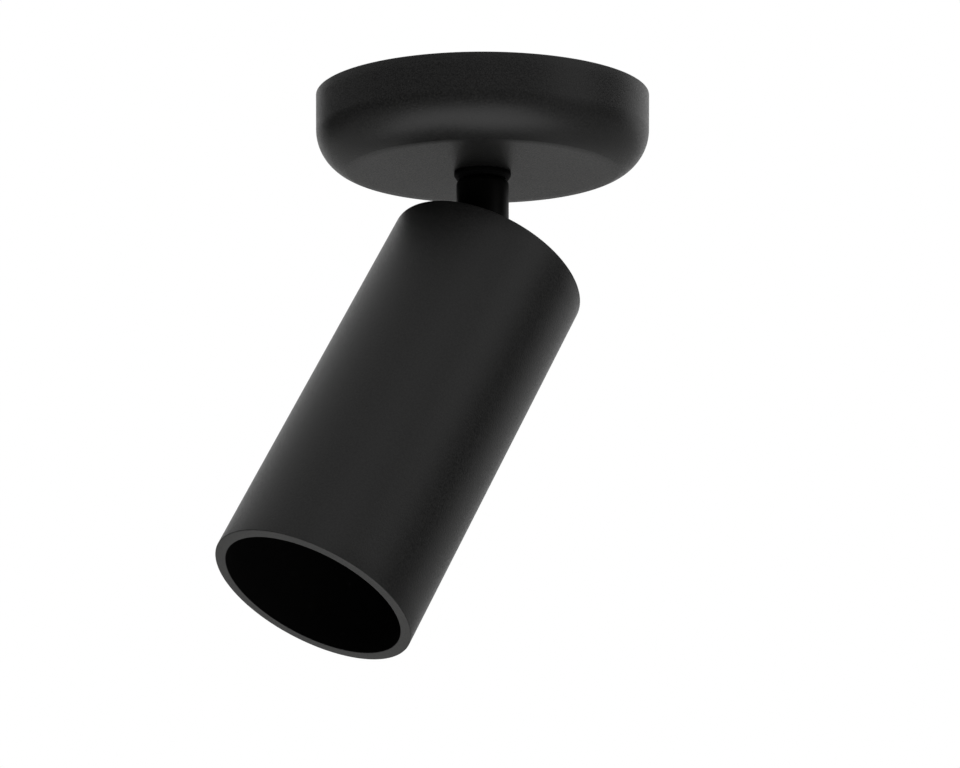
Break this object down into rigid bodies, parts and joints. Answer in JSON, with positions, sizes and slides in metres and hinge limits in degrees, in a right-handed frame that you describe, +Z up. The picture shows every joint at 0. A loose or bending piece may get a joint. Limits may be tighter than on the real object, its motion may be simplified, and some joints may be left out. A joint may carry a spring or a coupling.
{
  "type": "surface mounted ceiling spotlight",
  "caption": "Round surface mounted ceiling canopy with a swivel stem and a tilting cylindrical spotlight head that holds a recessed twist-in lamp.",
  "frame": {"origin": "centre of the ceiling plate's top face, in the ceiling plane", "axes": "+Z up into the ceiling, X through the two fixing slots; as stored the stem is turned 41.4 degrees about Z and the tube leans 32.4 degrees from straight down towards -X and -Y"},
  "size_m": [0.1253, 0.1202, 0.1713],
  "materials": {
    "black_coat": "matt black powder coat, fine grain",
    "black_screws": "black oxide",
    "zinc_steel": "bright zinc plate",
    "brass": "plain turned brass",
    "nylon": "natural nylon",
    "terminal_plastic": "off-white moulded plastic",
    "ceramic": "unglazed white ceramic",
    "brown_core": "brown insulation",
    "blue_core": "blue insulation",
    "green_yellow_core": "green and yellow insulation",
    "lead_sheath": "black sheath",
    "lamp_body": "satin white",
    "lamp_plastic": "satin white",
    "pin_metal": "nickel plate",
    "board_white": "white solder mask",
    "phosphor": "yellow phosphor",
    "lens_clear": "clear moulded lens"
  },
  "bodies": {
    "ceiling": {"ceiling_plate": "zinc_steel", "canopy": "black_coat", "canopy_side_screws": "black_screws", "threaded_nipple": "zinc_steel", "backing_washer": "zinc_steel", "tooth_washer": "zinc_steel", "nipple_lock_nut": "zinc_steel", "collar_ring": "black_coat", "swivel_bush": "brass", "terminal_block": "terminal_plastic", "terminal_clamps": "brass", "terminal_screws": "zinc_steel", "terminal_fixing_screws": "zinc_steel", "live_core": "brown_core", "neutral_core": "blue_core", "earth_core": "green_yellow_core", "earth_jumper": "green_yellow_core", "earth_lug": "brass", "earth_screw": "zinc_steel"},
    "swivel": {"swivel_barrel": "black_coat", "swivel_washer": "nylon", "knuckle": "black_coat", "stop_screw": "black_screws", "knuckle_screw": "black_screws", "stem_lead": "lead_sheath"},
    "head": {"head_tube": "black_coat", "head_cap": "black_coat", "hinge_screw": "zinc_steel", "hinge_spring_washer": "zinc_steel", "hinge_friction_washers": "nylon", "holder_bracket": "zinc_steel", "holder_bracket_screws": "zinc_steel", "lampholder": "ceramic", "lampholder_contacts": "brass", "lampholder_screws": "zinc_steel", "head_lead": "lead_sheath"},
    "lamp": {"lamp_housing": "lamp_body", "lamp_base": "lamp_plastic", "lamp_pins": "pin_metal", "led_board": "board_white", "led_chips": "phosphor", "lamp_lens": "lens_clear"}
  },
  "joints": [
    {"name": "pan", "type": "hinge", "parent": "ceiling", "child": "swivel", "pos_m": [0, 0, -0.031], "axis": [0, 0, 1], "range_deg": [-165, 165]},
    {"name": "tilt", "type": "hinge", "parent": "swivel", "child": "head", "pos_m": [0, 0, -0.05511], "axis": [-0.6613, 0.7501, 0], "range_deg": [-32.4, 17.6], "deforming": ["head_lead"]},
    {"name": "lamp_twist", "type": "hinge", "parent": "head", "child": "lamp", "pos_m": [0, 0, -0.05511], "axis": [0.4019, 0.3543, 0.8443], "range_deg": [-18, 0]}
  ]
}
